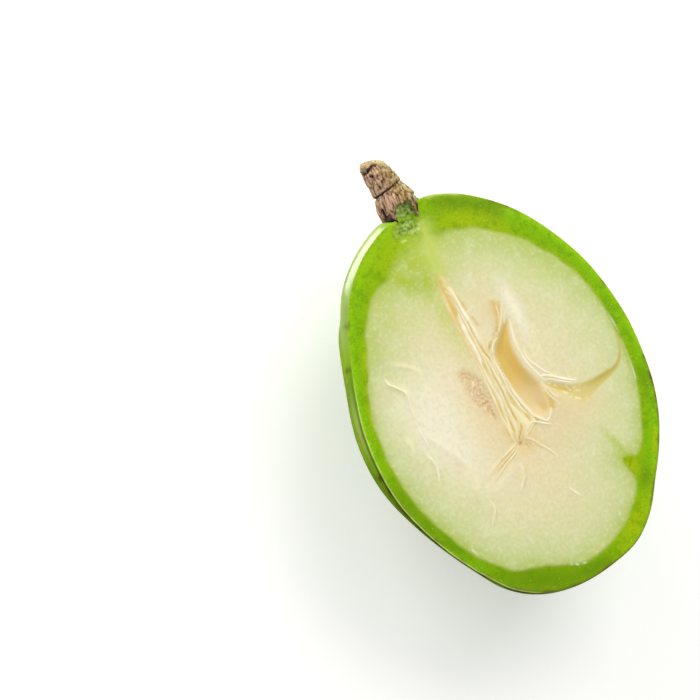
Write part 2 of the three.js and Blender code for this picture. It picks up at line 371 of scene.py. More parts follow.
def shape_fruit(mesh):
    """Turns a ball into the half: its upper rings become the cut face and its lower ones the rounded back."""
    places = places_of(mesh)
    ring = np.arccos(np.clip(places[:, 2], -1, 1)) / math.pi * (FACE_RINGS + BACK_RINGS)
    ring = np.rint(ring).astype(int)
    angle = np.arctan2(places[:, 1], places[:, 0])

    edge = smooth_line(CUT_EDGE, 40, closed=True)
    edge_angle = np.arctan2(edge[:, 1] - HEART[1], edge[:, 0] - HEART[0])
    a_bit_on = angle + 0.03  # from there to here is the edge's own direction
    edge_x, next_x = (np.interp(a, edge_angle, edge[:, 0], period=2 * math.pi) for a in (angle, a_bit_on))
    edge_y, next_y = (np.interp(a, edge_angle, edge[:, 1], period=2 * math.pi) for a in (angle, a_bit_on))
    length = np.hypot(next_x - edge_x, next_y - edge_y)
    out_x, out_y = (next_y - edge_y) / length, (edge_x - next_x) / length

    spread = np.interp(ring / FACE_RINGS, *zip(*RING_SPREAD))
    x = HEART[0] + spread * (edge_x - HEART[0])
    y = HEART[1] + spread * (edge_y - HEART[1])
    z = np.zeros(len(x))
    on_face = ring <= FACE_RINGS
    z[on_face] = face_relief(x[on_face], y[on_face]) * (1 - rise(spread[on_face], 0.97, 1))

    back = ~on_face
    down = np.clip((ring[back] - FACE_RINGS) / (BACK_RINGS - 1), 0, 1)
    spot_angle = math.asin((FACE_HEIGHT / BACK_DEPTH) ** (BACK_FULLNESS / 2))
    lean = spot_angle * (0.06 * down + 0.94 * down**2)
    shrink = np.cos(lean) ** (2 / BACK_FULLNESS) * (ring[back] < FACE_RINGS + BACK_RINGS)
    drop = BACK_DEPTH * np.sin(lean) ** (2 / BACK_FULLNESS)
    bx, by = (edge_x[back] + FACE_MIDDLE[0]) * shrink, (edge_y[back] + FACE_MIDDLE[1]) * shrink
    bz = np.maximum(-drop, -FACE_HEIGHT)
    swell = skin_swell(edge_x[back], edge_y[back], drop)
    dents = 0.22 * lumps(bx, by, bz, 11.0, 7.0) + 0.05 * lumps(bx, by, bz, 4.0, 8.0)
    swell = swell + dents * rise(drop, 0.5, 6) * (1 - rise(drop, 20, 25))
    x[back] = bx + out_x[back] * swell - FACE_MIDDLE[0]
    y[back] = by + out_y[back] * swell - FACE_MIDDLE[1]
    z[back] = bz

    put(mesh, to_part(x, y, z))
    return x, y, z, ring


def keep(mesh, **tones):
    """Stores numbers for each vertex, each set under its own name, for the material to read."""
    for name, values in tones.items():
        attribute = mesh.attributes.new(name, "FLOAT", "POINT")
        attribute.data.foreach_set("value", np.clip(values, 0, 1).astype(np.float32))


FLECKS = [  # painted highlights on the wet torn tissue below the stalk: course, half width
    ([(-1.4, 36.6), (-1.7, 35.6), (-2.3, 34.8)], 0.22),
    ([(-6.1, 34.5), (-5.3, 34.2)], 0.25),
    ([(-4.3, 36.2), (-3.7, 36.7)], 0.18),
    ([(-2.9, 35.6), (-3.3, 35)], 0.16),
]
BRUISES = [  # dark patches of the skin along the cut edge: place and size
    (-29.9, -5, 1), (-29.6, -8, 1.2), (-28.5, -12.6, 2), (-27, -16.6, 1.2), (-25, -20, 1.6),
    (-22, -25.6, 1.4), (-19.5, -30, 2.4), (-14, -35.5, 2.6), (-9, -38, 1.6), (-3, -40, 1.6), (5, -38.4, 1.4),
    (30.9, -5, 1), (29.9, -9, 1.8), (28.9, -12.7, 1), (28.3, -15.3, 0.8), (26.2, -20.4, 0.8),
    (20.6, -28.2, 1.6), (18.7, -30, 1), (29.6, 12, 1), (17.5, 33.4, 1.6), (15, 35.4, 1), (-23.2, 23.5, 0.6),
    (-26.6, 16, 0.5), (-30, 9.6, 0.7),
]


def bruises(x, y):
    """How dark the bruises are at each place, about 0 to 1."""
    dark = np.zeros(x.shape)
    for px, py, size in BRUISES:
        dark += hill(x, y, (px, py), (size, size))
    return dark


FAR = 60.0  # from an outline to the heart and beyond


def tone_flesh(mesh, x, y):
    """Where the pale flesh is green, creamy or warm, and how deep inside the rind it lies."""
    inner = depth_inside(RIND_EDGE, x, y, FAR)
    cloud = lumps(x, y, 0, 2.6, 11.0)
    fibres = lumps(x, 0.16 * y, 0, 1.3, 12.0) + 0.8 * lumps(x, 0.2 * y, 0, 0.55, 49.0)
    fresh = rise(y, 2, 20) * np.exp(-((inner / 6) ** 2))
    fresh = fresh + 0.6 * rise(-y, 2, 18) * np.exp(-((inner / 3) ** 2))
    blush = hill(x, y, (-6, 31.5), (7, 5.5)) * (1 + 0.5 * fibres)
    blush = blush + 0.6 * hill(x, y, (-4.6, 26), (3, 5.5)) * (1 + 0.6 * fibres)
    blush = blush + 0.9 * hill(x, y, (-7.6, 29), (3.4, 4))
    notch = [(15, -12.5), (16.2, -15), (16.8, -17.5), (17.4, -20), (18, -22)]
    notch_line = [(17, -15.6), (17.5, -17.6), (18, -19.8), (18.8, -22.4)]
    blush = blush + 0.4 * streak(x, y, notch, 0.8, 0.3)
    blush = blush + 0.6 * streak(x, y, notch_line, 0.4, 0.3)
    down_from_stalk = [(-0.1, 38.6), (-0.2, 35), (-0.8, 32), (-1.5, 28), (-1.8, 24)]
    dew = streak(x, y, down_from_stalk, 1.5) * (0.8 + 0.5 * fibres)
    dew = dew + 0.5 * hill(x, y, (-3, 31.5), (2.6, 4.5)) + 0.3 * hill(x, y, (-0.6, 30), (2, 3))
    keep(
        mesh,
        core=(inner + 0.8 * cloud) / 20,
        cream=hill(x, y, (-15, -3), (12, 5), -63) + 0.5 * hill(x, y, (-12, 5), (7, 8)),
        pearl=hill(x, y, (9.6, 14.5), (1.5, 6), 3),
        warm=hill(x, y, (-5.5, -2), (4, 10)) + 0.8 * hill(x, y, (3, -10), (8, 7)),
        lime=hill(x, y, (-4, 17), (2.6, 9)) + 0.3 * hill(x, y, (-12, 20), (7, 5)),
        fresh=fresh,
        blush=blush,
        dew=dew,
    )


def tone_middle(mesh, x, y):
    """Where the middle is golden, sandy, rosy or pale: the fibres, the chamber and the two pockets."""
    specks = lumps(x, y, 0, 0.3, 44.0)
    chamber = depth_inside(CHAMBER, x, y)
    pocket = depth_inside(SIDE_POCKET, x, y)
    left = depth_inside(LEFT_POCKET, x, y)
    inside, ridges = fibre_fan(x, y)
    fibre_gaps = np.maximum(inside * rise(-ridges, 0, 0.5), traced(GAPS, x, y))
    tail = [(-1, -9.8), (-3.4, -11), (-6, -12.2), (-9.8, -14.2)]
    gold = np.maximum.reduce([
        rise(chamber, -0.4, 0.8) * (0.15 + 0.85 * rise(y, -4, 4)),
        (0.75 + 0.2 * rise(-y, -1, 5)) * fibre_gaps,
        0.45 * hill(x, y, (-0.4, -10.4), (2.4, 1.8)),
        0.5 * hill(x, y, (6.9, -5.6), (1.1, 1.3)) * rise(chamber, -0.2, 0.4),
        0.35 * hill(x, y, (-2.4, -7.4), (1.1, 2.6)),
        0.4 * streak(x, y, tail, 1.1),
    ])
    sand = np.maximum.reduce([
        rise(chamber, -0.5, 0.7),
        0.7 * hill(x, y, (5.6, 13.5), (1.7, 4), 20),
        0.5 * hill(x, y, (13, -8), (6, 2.5)),
    ])
    shreds = rise(pocket, -0.4, 0.5) * rise(lumps(x, y, 0, 0.7, 47.0), 0.1, 0.45) * (1 - rise(x, 13, 18))
    net = 0.6 * rise(left, -0.4, 0.4) * (1 - rise(np.abs(lumps(x, y, 0, 0.9, 48.0)), 0.03, 0.14))
    pale = np.maximum.reduce([
        inside * rise(ridges, -0.1, 0.5),
        traced(STRANDS, x, y),
        0.6 * traced(VEINS, x, y),
        0.8 * shreds,
        net,
    ])
    crumbs = rise(lumps(x, y, 0, 0.55, 46.0), 0.1, 0.45)
    knot = hill(x, y, (-0.9, -9.9), (0.45, 0.35), 30)
    knot = knot + rise(left, -0.4, 0.8) * (0.2 + 0.4 * rise(x, -6, -3.6)) * crumbs
    chamber_side = [(1.6, 7.5), (1.8, 4), (2.2, 0), (3, -3.5)]
    chamber_top = [(1.2, 8.4), (1.8, 9.6), (3, 10.8), (4.4, 11.8), (5.4, 13.4)]
    below_fan = [(-1.4, -10), (-3, -10.8), (-5, -11.7)]
    knot = knot + 0.4 * streak(x, y, chamber_side, 0.35) * rise(specks, 0.05, 0.3)
    knot = knot + 0.6 * streak(x, y, chamber_top, 0.4) * rise(specks, -0.1, 0.3)
    knot = knot + 0.6 * hill(x, y, (0.3, -10.6), (1.4, 0.6)) * rise(specks, 0, 0.3)
    knot = knot + 0.6 * streak(x, y, below_fan, 0.55) * rise(specks, 0.1, 0.3)
    keep(
        mesh,
        honey=np.maximum(inside, 0.8 * hill(x, y, (10, -4.5), (2.6, 1.6), -40)),
        straw=rise(pocket, -0.25, 0.5),
        olive=rise(pocket, -0.25, 0.4) * rise(x, 14, 22),
        gold=gold,
        sand=sand,
        rosy=rise(left, -1.0, 0.8) * (0.65 + 0.6 * lumps(x, y, 0, 0.5, 4.0)),
        pale=pale,
        knot=knot,
    )


def tone_rind(mesh, x, y):
    """Where the rind begins, how deep in it a place lies, and where it is shaded, sunny, stained or wet, and
    where painted highlights lie along its steps, its cut edge and the torn tissue.
    """
    inner = depth_inside(RIND_EDGE, x, y, FAR)
    edge = depth_inside(CUT_EDGE, x, y, FAR)
    cloud = lumps(x, y, 0, 2.6, 11.0)
    broken = 0.75 + 0.5 * lumps(x, y, 0, 1.3, 45.0)
    soft = 0.35 + 2.4 * hill(x, y, (-4, 32), (7, 4))
    top_edge = [(1.4, 40.6), (5, 40.2), (10, 38.3)]
    # A painted highlight along the lower left cut edge and the top edge right of the stalk, with the painted
    # glints on the torn tissue.
    bead = np.exp(-(((edge - 0.1) / 0.1) ** 2)) * (1 - rise(y, 8, 18)) * rise(-x, 6, 14) * broken
    bead = bead + traced(FLECKS, x, y) + 0.5 * streak(x, y, top_edge, 0.3)
    brown_edge = np.maximum(rise(-y, 30, 36), rise(-y, 3, 10) * rise(x, 10, 20) * broken)
    stain = bruises(x, y) * np.exp(-((edge / 0.5) ** 2)) * (0.7 + 0.8 * lumps(x, y, 0, 0.8, 14.0))
    stain = stain + 0.6 * np.exp(-((edge / 0.3) ** 2)) * brown_edge
    upper_right = [(0, 39.5), (6, 38.2), (10, 36.4), (14, 33.6), (17, 31)]
    lower_left = [(-29.4, -4), (-27.8, -10), (-25.6, -16), (-22.4, -22), (-18.4, -28)]
    shade = streak(x, y, upper_right, 2.4, 0.2) + 0.75 * streak(x, y, lower_left, 2, 0.25)
    shade = shade + hill(x, y, (-9, -35), (14, 4), -24) + hill(x, y, (3, -38), (6, 2), 6)
    shade = shade + hill(x, y, (20.2, -26), (1.4, 2.4), -35) + 0.8 * hill(x, y, (28.8, -9), (1.6, 3))
    inner_top = [(-1, 35.4), (5, 34.8), (9, 33.4), (13, 30.6), (17, 26.6)]
    inner_right = [(26.6, -17.6), (25.2, -20.6), (23.4, -23.2)]
    inner_left = [(-20.6, 21.6), (-22.6, 17), (-24.6, 12), (-26.2, 6.6), (-27.2, 1)]
    sunny = hill(x, y, (14, -33), (6, 2), 35) + hill(x, y, (18.4, -22.6), (1.6, 2))
    sunny = sunny + 0.7 * hill(x, y, (-8, 34), (9, 3.4), 25)
    sunny = sunny + 0.8 * streak(x, y, inner_top, 2.2, 0.3) + streak(x, y, inner_right, 0.5)
    sunny = sunny + 0.7 * streak(x, y, inner_left, 0.8)
    keep(
        mesh,
        rind=rise(0.3 * cloud - inner, -soft, soft),
        rind_depth=-inner / np.maximum(edge - inner, 0.5),
        # A painted highlight along the steps.
        glint=traced(STEPS, x, y),
        bead=bead,
        stain=stain,
        tissue=hill(x, y, (-4, 36.6), (3.6, 2.3)) * (0.8 + 0.5 * lumps(x, y, 0, 0.8, 13.0)),
        shade=shade,
        sunny=sunny,
    )


def tone_skin(mesh, x, y, z, ring):
    """Where the skin is bruised, where juice makes it shine, where a painted highlight runs along its rim,
    where a pale painted sheen lies on its left, and where painted shade darkens a line below the cut edge and
    the lower left flank.
    """
    drop = np.where(ring > FACE_RINGS, -z, 0)
    left_side = rise(-x - 0.2 * y, 2, 8)
    gloss = rise(y, 19, 31) * (1 - rise(x, -8, -5)) * np.exp(-((drop / 5) ** 2))
    gloss = gloss + 0.35 * rise(drop, 14, 20)
    # Painted shade: a dark line just below the cut edge on the left, and over the lower left flank.
    groove = np.exp(-(((drop - 0.55) / 0.35) ** 2)) * left_side * rise(-y, -20, 0)
    groove = groove + 0.75 * hill(x, y, (-26, -14), (7, 8)) * np.exp(-(((drop - 2.5) / 3.5) ** 2))
    # A pale painted sheen: down the left flank, and below the shoulder's highlight.
    faded = left_side * hill(x, y, (-30, 6), (9, 7)) * np.exp(-(((drop - 2) / 1.6) ** 2))
    faded = faded + rise(y, 14, 24) * (1 - rise(x, -9, -6)) * np.exp(-(((drop - 1.6) / 2) ** 2))
    keep(
        mesh,
        bruise=bruises(x, y) * np.exp(-((drop / 2.8) ** 2)) * (1 + lumps(x, y, z, 1.6, 14.0)),
        gloss=gloss,
        # A painted highlight along the top of the skin at the cut edge.
        rim=np.exp(-(((drop - 0.03) / 0.1) ** 2)) * (0.12 + 0.6 * left_side * rise(-y, -14, 6)),
        groove=groove,
        faded=faded,
        neck=hill(x, y, (-4, 40), (9, 5)) * rise(drop, 0.6, 4),
    )


fruit = ball("fruit", SIDES, FACE_RINGS + BACK_RINGS)
fruit_x, fruit_y, fruit_z, fruit_ring = shape_fruit(fruit.data)
tone_flesh(fruit.data, fruit_x, fruit_y)
tone_middle(fruit.data, fruit_x, fruit_y)
tone_rind(fruit.data, fruit_x, fruit_y)
tone_skin(fruit.data, fruit_x, fruit_y, fruit_z, fruit_ring)


def paint(red, green, blue):
    """A colour as Blender's shaders take it, from its everyday 0 to 255 form."""
    parts = [v / 255 for v in (red, green, blue)]
    return (*[v / 12.92 if v <= 0.04045 else ((v + 0.055) / 1.055) ** 2.4 for v in parts], 1)


class Finish:
    """A material under construction: each step adds shader nodes and returns a socket to build on."""

    def __init__(self, name, **settings):
        self.material = bpy.data.materials.new(name)
        self.material.use_nodes = True
        self.tree = self.material.node_tree
        self.shader = self.tree.nodes["Principled BSDF"]
        self.set(**settings)
        self.place = self.add("ShaderNodeTexCoord").outputs["Object"]

    def feed(self, socket, value):
        if isinstance(value, bpy.types.NodeSocket):
            self.tree.links.new(value, socket)
        else:
            socket.default_value = value

    def set(self, **settings):
        for name, value in settings.items():
            self.feed(self.shader.inputs[name.replace("_", " ")], value)

    def add(self, kind, **links):
        node = self.tree.nodes.new(kind)
        for name, value in links.items():
            self.feed(node.inputs[name.replace("_", " ")], value)
        return node

    def tone(self, name):
        """The numbers that the mesh keeps under that name."""
        node = self.add("ShaderNodeAttribute")
        node.attribute_name = name
        return node.outputs["Fac"]

    def scaled(self, size, stretch, shift):
        mapping = self.add("ShaderNodeMapping", Vector=self.place)
        mapping.inputs["Scale"].default_value = [v / (size * MM) for v in stretch]
        mapping.inputs["Location"].default_value = (shift, shift, shift)
        return mapping.outputs["Vector"]

    def grain(self, size, detail=2.0, stretch=(1, 1, 1), shift=0.0):
        """Noise whose lumps are about that many millimetres across."""
        spot = self.scaled(size, stretch, shift)
        return self.add("ShaderNodeTexNoise", Vector=spot, Scale=1.0, Detail=detail).outputs["Fac"]

    def spots(self, pitch, radius, shift=0.0, share=1.0):
        """Scattered round spots, 1 inside. The radius is in pitches, and share is how many of them show."""
        node = self.add("ShaderNodeTexVoronoi", Vector=self.scaled(pitch, (1, 1, 1), shift), Scale=1.0)
        chance = self.add("ShaderNodeSeparateColor", Color=node.outputs["Color"]).outputs["Red"]
        inside = self.step(node.outputs["Distance"], radius, radius * 0.35)
        return self.times(inside, self.step(chance, share, share - 0.02))

    def step(self, value, off, on):
        """0 at the first number, 1 at the second, and a smooth step between."""
        node = self.add("ShaderNodeMapRange", Value=value, From_Min=min(off, on), From_Max=max(off, on))
        node.interpolation_type = "SMOOTHSTEP"
        node.inputs["To Min"].default_value = float(off > on)
        node.inputs["To Max"].default_value = float(off < on)
        return node.outputs["Result"]

    def reckon(self, operation, a, b):
        node = self.add("ShaderNodeMath")
        node.operation = operation
        self.feed(node.inputs[0], a)
        self.feed(node.inputs[1], b)
        return node.outputs["Value"]

    def times(self, a, b):
        return self.reckon("MULTIPLY", a, b)

    def plus(self, a, b):
        return self.reckon("ADD", a, b)

    def mix(self, base, colour, share):
        node = self.add("ShaderNodeMix")
        node.data_type = "RGBA"
        self.feed(node.inputs[0], share)
        self.feed(node.inputs[6], base)
        self.feed(node.inputs[7], colour)
        return node.outputs[2]

    def layers(self, colour, *layers):
        """The colour under the layers: each has a share, or the tone that holds it, an amount and a tint."""
        for share, amount, tint in layers:
            share = self.tone(share) if isinstance(share, str) else share
            colour = self.mix(colour, tint, self.times(share, amount))
        return colour

    def ramp(self, value, *stops):
        """A colour that runs through the stops, each a place from 0 to 1 and a colour."""
        node = self.add("ShaderNodeValToRGB", Fac=value)
        elements = node.color_ramp.elements
        elements[0].color, elements[1].color = stops[0][1], stops[-1][1]
        elements[0].position, elements[1].position = stops[0][0], stops[-1][0]
        for place, colour in stops[1:-1]:
            elements.new(place).color = colour
        return node.outputs["Color"]

    def bump(self, height, depth):
        """Small relief, its depth in millimetres."""
        return self.add("ShaderNodeBump", Height=height, Strength=1.0, Distance=depth * MM).outputs["Normal"]


def flesh_finish():
    flesh = Finish("cut_flesh", IOR=1.4, Specular_IOR_Level=0.12, Coat_Roughness=0.2, Coat_IOR=1.4)
    flesh.set(Subsurface_Weight=0.5, Subsurface_Scale=0.0015, Subsurface_Radius=(1.0, 0.9, 0.5))
    colour = flesh.ramp(
        flesh.tone("core"),
        (0, paint(178, 196, 92)),
        (0.05, paint(200, 210, 138)),
        (0.12, paint(210, 217, 158)),
        (0.3, paint(219, 221, 166)),
        (0.6, paint(229, 222, 176)),
        (1, paint(236, 224, 182)),
    )
    fine, mottle = flesh.grain(0.8, 4.0), flesh.grain(3.4, 2.0, shift=9.0)
    colour = flesh.layers(
        colour,
        ("fresh", 0.75, paint(188, 204, 104)),
        ("warm", 0.75, paint(234, 213, 166)),
        ("lime", 0.8, paint(207, 210, 116)),
        ("cream", 0.9, paint(246, 238, 212)),
        ("pearl", 0.65, paint(250, 246, 232)),
        ("blush", 0.95, paint(178, 198, 62)),
        (flesh.step(mottle, 0.45, 0.75), 0.14, paint(246, 244, 230)),
        (flesh.step(flesh.grain(4.2, 4.0, shift=15.0), 0.52, 0.7), 0.2, paint(232, 212, 172)),
        (flesh.step(fine, 0.52, 0.3), 0.2, paint(200, 200, 140)),
        (flesh.step(fine, 0.5, 0.68), 0.16, paint(252, 248, 226)),
        (flesh.spots(3.4, 0.06, 12.0, 0.6), 0.5, paint(252, 248, 224)),
        ("honey", 0.75, paint(238, 216, 150)),
        ("sand", 0.9, paint(229, 204, 152)),
        ("straw", 0.9, paint(222, 207, 132)),
        ("olive", 0.9, paint(200, 186, 92)),
        ("gold", 0.9, paint(223, 188, 92)),
        ("rosy", 0.75, paint(216, 176, 124)),
        ("pale", 0.75, paint(251, 241, 200)),
        ("knot", 0.7, paint(176, 122, 62)),
    )
    rind = flesh.ramp(
        flesh.tone("rind_depth"),
        (0, paint(150, 184, 6)),
        (0.3, paint(140, 186, 0)),
        (0.6, paint(134, 190, 0)),
        (0.85, paint(148, 200, 6)),
        (1, paint(150, 186, 20)),
    )
    blotches = flesh.step(flesh.grain(1.6, 4.0, shift=5.0), 0.48, 0.66)
    dots = flesh.step(flesh.grain(0.45, 3.0, shift=17.0), 0.5, 0.36)
    rind = flesh.layers(
        rind,
        ("shade", 0.8, paint(112, 146, 2)),
        ("sunny", 0.8, paint(176, 194, 4)),
        (blotches, 0.4, paint(98, 150, 0)),
        (dots, 0.26, paint(92, 136, 0)),
        (flesh.spots(0.8, 0.2, 2.0, 0.5), 0.55, paint(200, 222, 90)),
        ("stain", 1.0, paint(92, 82, 28)),
    )
    colour = flesh.mix(colour, rind, flesh.tone("rind"))
    colour = flesh.layers(colour, ("dew", 0.65, paint(206, 218, 112)))
    curds = flesh.grain(0.8, 3.0, shift=6.0)
    wet_green = flesh.ramp(curds, (0.36, paint(76, 110, 16)), (0.66, paint(180, 204, 100)))
    colour = flesh.mix(colour, wet_green, flesh.step(flesh.tone("tissue"), 0.25, 0.75))
    colour = flesh.layers(
        colour,
        # A painted highlight along the steps.
        ("glint", 0.6, paint(250, 250, 236)),
        # A painted highlight along the cut edge and on the torn tissue.
        ("bead", 0.7, paint(228, 242, 164)),
    )
    flesh.set(Base_Color=colour, Normal=flesh.bump(fine, 0.03))
    flesh.set(Roughness=flesh.plus(flesh.times(mottle, 0.3), 0.3))
    flesh.set(Coat_Weight=flesh.times(flesh.step(flesh.tone("rind"), 0.9, 0.2), 0.1))
    return flesh.material


def skin_finish():
    skin = Finish("waxy_skin", Roughness=0.42, IOR=1.45, Specular_IOR_Level=0.0)
    skin.set(Coat_IOR=1.7, Coat_Roughness=0.2, Subsurface_Weight=0.1, Subsurface_Scale=0.0008)
    deep = skin.step(skin.grain(13.0, 3.0), 0.38, 0.66)
    colour = skin.mix(paint(134, 174, 22), paint(106, 148, 18), deep)
    patchy = skin.step(skin.grain(1.1, 4.0, shift=8.0), 0.4, 0.6)
    scab = skin.times(skin.step(skin.grain(10.0, 4.0, shift=8.0), 0.57, 0.66), patchy)
    smoky = skin.times(skin.tone("neck"), skin.step(skin.grain(2.0, 4.0, (1, 0.3, 1)), 0.35, 0.65))
    colour = skin.layers(
        colour,
        (skin.step(skin.grain(4.0, 3.0, shift=3.0), 0.5, 0.72), 0.5, paint(154, 186, 46)),
        (skin.spots(2.2, 0.15, 1.0, 0.5), 0.7, paint(184, 200, 84)),
        (skin.spots(4.6, 0.12, 4.0, 0.5), 0.8, paint(72, 92, 22)),
        (skin.spots(7.5, 0.13, 9.0, 0.5), 0.75, paint(92, 88, 34)),
        (scab, 0.7, paint(116, 100, 52)),
        (smoky, 0.8, paint(98, 88, 70)),
        # A pale painted sheen on the skin.
        ("faded", 0.6, paint(172, 190, 112)),
        # Painted shade on the left side of the skin.
        ("groove", 0.85, paint(70, 98, 12)),
        ("bruise", 0.92, paint(66, 52, 28)),
        # A painted highlight along the top of the skin at the cut edge.
        ("rim", 0.9, paint(196, 224, 110)),
    )
    skin.set(Base_Color=colour, Normal=skin.bump(skin.grain(0.6, 2.0), 0.02))
    skin.set(Coat_Weight=skin.times(skin.tone("gloss"), 0.8))
    return skin.material


fruit.data.materials.append(flesh_finish())
fruit.data.materials.append(skin_finish())
for face in fruit.data.polygons:
    face.material_index = int(max(fruit_ring[v] for v in face.vertices) > FACE_RINGS)
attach(fruit, "root")
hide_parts("fruit_half")

# --- the strands ---
# The bundles of tough white fibres that run from the stalk to the seed chamber and out into the flesh. They
# lie half sunk in the cut face, where the knife pulled them free of it.


def strand_ribbons():
    """The strands as one mesh: a flat ribbon with uneven edges and thin ends along each course."""
    deselect_all()
    bpy.ops.curve.primitive_bezier_circle_add(radius=MM)
    section = bpy.context.object
    section.scale = (1, 0.3, 1)
    bpy.ops.object.transform_apply()
    section.data.resolution_u = 3
    curve = bpy.data.curves.new("strands", "CURVE")
    curve.dimensions = "3D"
    curve.twist_mode = "Z_UP"
    curve.bevel_mode = "OBJECT"
    curve.bevel_object = section
    curve.use_fill_caps = True
    for number, (corners, half_width, _) in enumerate(STRANDS):
        line = smooth_line(corners, 6)
        x, y = line[:, 0] + 0.08 * lumps(line[:, 0], line[:, 1], number * 3.1, 1.4, 21.0), line[:, 1]
        share = np.linspace(0, 1, len(line))
        taper = 0.2 + 0.8 * rise(share, 0, 0.25) * (1 - rise(share, 0.7, 1))
        width = 0.8 * half_width * taper * (1 + 0.35 * lumps(x, y, number * 1.7, 0.9, 22.0))
        height = face_relief(x, y) - 0.18 * width
        spline = curve.splines.new("POLY")
        spline.points.add(len(line) - 1)
        for point, place, radius in zip(spline.points, to_part(x, y, height), width):
            point.co = (*place, 1)
            point.radius = radius
    strands = bpy.data.objects.new("strands", curve)
    bpy.context.collection.objects.link(strands)
    deselect_all()
    strands.select_set(True)
    bpy.context.view_layer.objects.active = strands
    bpy.ops.object.convert(target="MESH")
    bpy.ops.object.mode_set(mode="EDIT")
    bpy.ops.mesh.select_all(action="SELECT")
    bpy.ops.mesh.remove_doubles(threshold=1e-6)
    bpy.ops.mesh.normals_make_consistent(inside=False)
    bpy.ops.object.mode_set(mode="OBJECT")
    bpy.ops.object.shade_smooth()
    bpy.data.objects.remove(section)
    return bpy.context.object


def tone_strands(mesh):
    """Which strands are golden."""
    x, y, _ = places_of(mesh).T / MM
    x, y = x - FACE_MIDDLE[0], y - FACE_MIDDLE[1]
    best, golden = np.full(x.shape, 1e3), np.zeros(x.shape)
    for corners, _, gold in STRANDS:
        distance, _ = nearest(smooth_line(corners), x, y, 2.0)
        golden = np.where(distance < best, gold, golden)
        best = np.minimum(best, distance)
    keep(mesh, golden=golden)


def strand_finish():
    strand = Finish("fibre", Roughness=0.4, IOR=1.42, Specular_IOR_Level=0.25)
    patches = strand.times(strand.step(strand.grain(2.5, 3.0), 0.4, 0.65), 0.3)
    golden = strand.plus(strand.tone("golden"), patches)
    colour = strand.mix(paint(253, 246, 214), paint(236, 206, 128), golden)
    strand.set(Base_Color=colour, Normal=strand.bump(strand.grain(0.35, 2.0, (1, 0.3, 1)), 0.03))
    return strand.material


strands = strand_ribbons()
tone_strands(strands.data)
strands.data.materials.append(strand_finish())
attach(strands, "root")

# --- the stalk ---
# Two segments of dry, fissured bark that meet at a cracked joint. The knife cut only its root, which shows as
# a green window between two torn legs of bark. Its upper end is broken off at a slant.

STALK_AXIS = [  # x, y and the height above the face
    (-1.4, 37, -7.4), (-1.8, 39.3, -4.3), (-2.5, 41.2, -2.9), (-3.3, 44.6, -2.2), (-4.6, 50.1, -1.1),
]
STALK_RADIUS = [  # share of the length, and radius
    (0, 3.2), (0.2, 4), (0.38, 4.3), (0.48, 4.1), (0.58, 3.6), (0.64, 3.2), (0.66, 3.25), (0.82, 3),
    (0.94, 2.75), (1, 2.3),
]
STALK_SIDES = 180
STALK_RINGS = 240
END_RINGS = 30  # at each end, that close it
ROD_RADIUS, ROD_LENGTH = 3.2, 16  # the plain rod that the bark's pattern is wrapped round
JOINT_Y = 44.2
# The window and the flakes of bark beside it that lap over the cut face, as they show from straight above.
WINDOW = [
    (-5.2, 36.8), (-5.1, 38.2), (-5.2, 39.3), (-4.6, 39.9), (-4.7, 40.7), (-3.9, 41.3), (-3.2, 40.9),
    (-2.4, 41.3), (-1.3, 40.8), (-1.5, 39.9), (-0.9, 39.2), (-1.3, 38.2), (-1, 36.8),
]
LEFT_FLAKE = [
    (-6.1, 39.3), (-5.6, 38.5), (-5.1, 37.8), (-4.6, 37.1), (-4.1, 37.3), (-4.4, 38.1), (-4.8, 39),
    (-5.1, 40), (-5.8, 40.4),
]
RIGHT_FLAKE = [
    (-1.5, 41), (-1.3, 40.2), (-1.2, 39.2), (-1.2, 38.4), (-0.8, 37.7), (-0.4, 38), (-0.2, 38.8),
    (0.2, 39.8), (0.2, 41),
]
# The crevices are placed as they show from a little to the left: course, half width, depth. They are darkened
# with painted shade; the one without depth is painted shade alone.
SHIFT = 0.445  # how far to the right a place shows there, for each millimetre of its height
CREVICES = [
    ([(-7.1, 37.2), (-7.1, 38.2), (-7, 39.2), (-7, 40.4)], 1, 0.4),
    ([(-6.9, 39.2), (-7.1, 40.6), (-7, 42)], 0.35, 0.3),
    ([(-6.4, 37.2), (-6.3, 38.3), (-6.3, 39.3), (-6.7, 40.4)], 0.8, 0),
    ([(-7.3, 39.8), (-6.4, 39.4), (-5.8, 38.8), (-5.3, 38.3), (-4.8, 37.7)], 0.45, 0.15),
    ([(0.3, 42.8), (0.6, 41.8), (0.6, 40.6), (0.1, 39.8), (-0.2, 39.2), (-0.5, 38.1)], 0.2, 0.4),
    ([(-8.6, 49), (-7.8, 49.3), (-7, 49.1), (-6.2, 49.4)], 0.32, 0.6),
    ([(-6.6, 49.2), (-5.7, 49.8), (-4.9, 50), (-4.4, 49.4)], 0.4, 0.35),
    ([(-6.7, 48.3), (-6.3, 48.2), (-5.9, 47.8)], 0.34, 0.3),
]


def crevices(x, y, deep=False):
    """How much painted shade darkens the crevices at each place, from 0 to 1, or, with deep, how deep they
    are.
    """
    most = np.zeros(x.shape)
    for corners, half_width, depth in CREVICES:
        amount = depth if deep else 1
        most = np.maximum(most, amount * streak(x, y, corners, half_width, 0.15))
    return most


def from_the_left(spot):
    """Where the spots show on the face, seen from a little to the left."""
    return spot[:, 0] + SHIFT * spot[:, 2], spot[:, 1]


